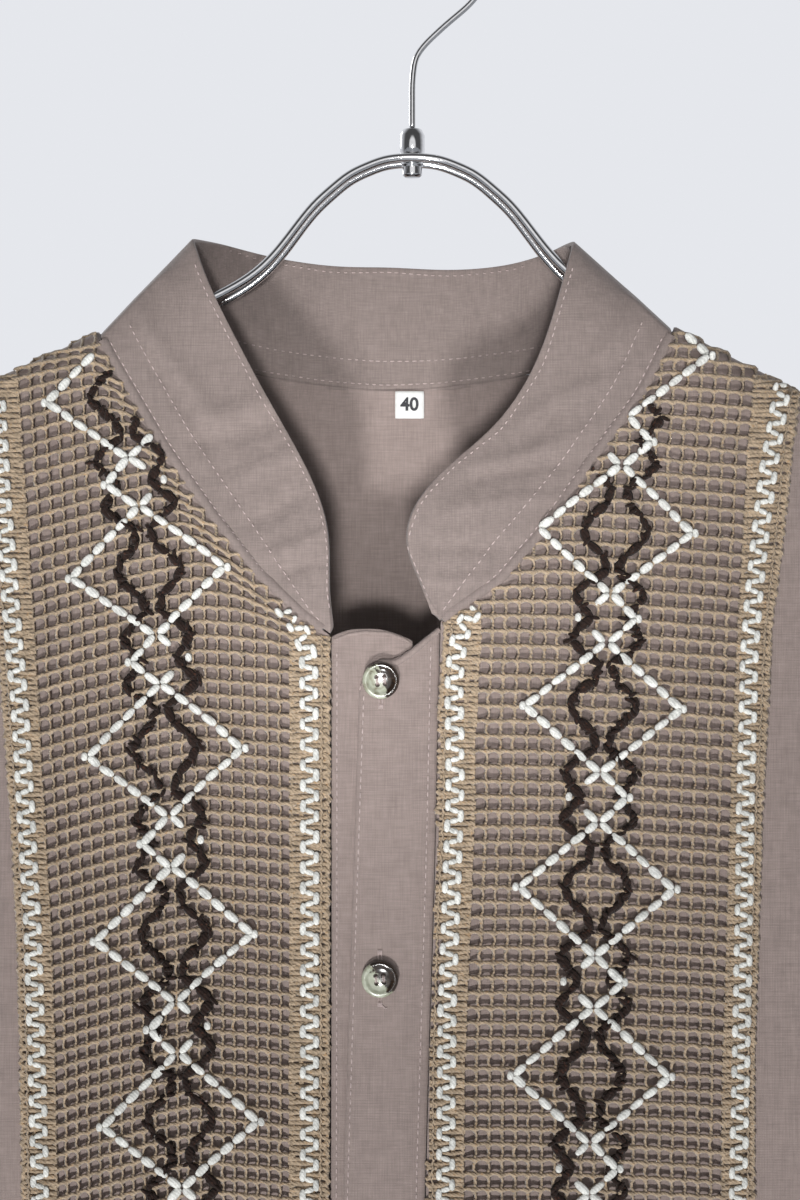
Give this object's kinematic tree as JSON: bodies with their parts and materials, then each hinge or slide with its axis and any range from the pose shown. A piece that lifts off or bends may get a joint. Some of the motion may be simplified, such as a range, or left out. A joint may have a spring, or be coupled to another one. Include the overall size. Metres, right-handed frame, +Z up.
{
  "type": "mandarin collar shirt on a hanger",
  "caption": "Short-sleeved mandarin collar shirt with crochet net front panels, white and dark embroidered diamonds and a button placket, on a chrome wire hanger.",
  "frame": {"origin": "inner crown of the hanger's hook, where a rail carries it", "axes": "+Z up, the shirt's front faces -Y, +X is the viewer's right"},
  "size_m": [0.7578, 0.0962, 0.8674],
  "materials": {
    "cloth": "plain weave cotton, mauve taupe",
    "net": "tan crochet net with white and dark brown yarn",
    "label": "woven white label",
    "button": "marbled green ivory and dark brown, glossy",
    "chrome": "polished wire"
  },
  "bodies": {
    "root": {"back": "cloth", "front_left": "cloth", "front_right": "cloth", "placket_over": "cloth", "placket_under": "cloth", "collar": "cloth", "sleeve_left": "cloth", "sleeve_right": "cloth", "net_left": "net", "net_right": "net", "label": "label", "button_1": "button", "button_2": "button", "button_3": "button", "button_4": "button", "button_5": "button", "button_6": "button", "hanger_wire": "chrome", "hanger_boss": "chrome", "hanger_hook": "chrome"}
  },
  "joints": []
}
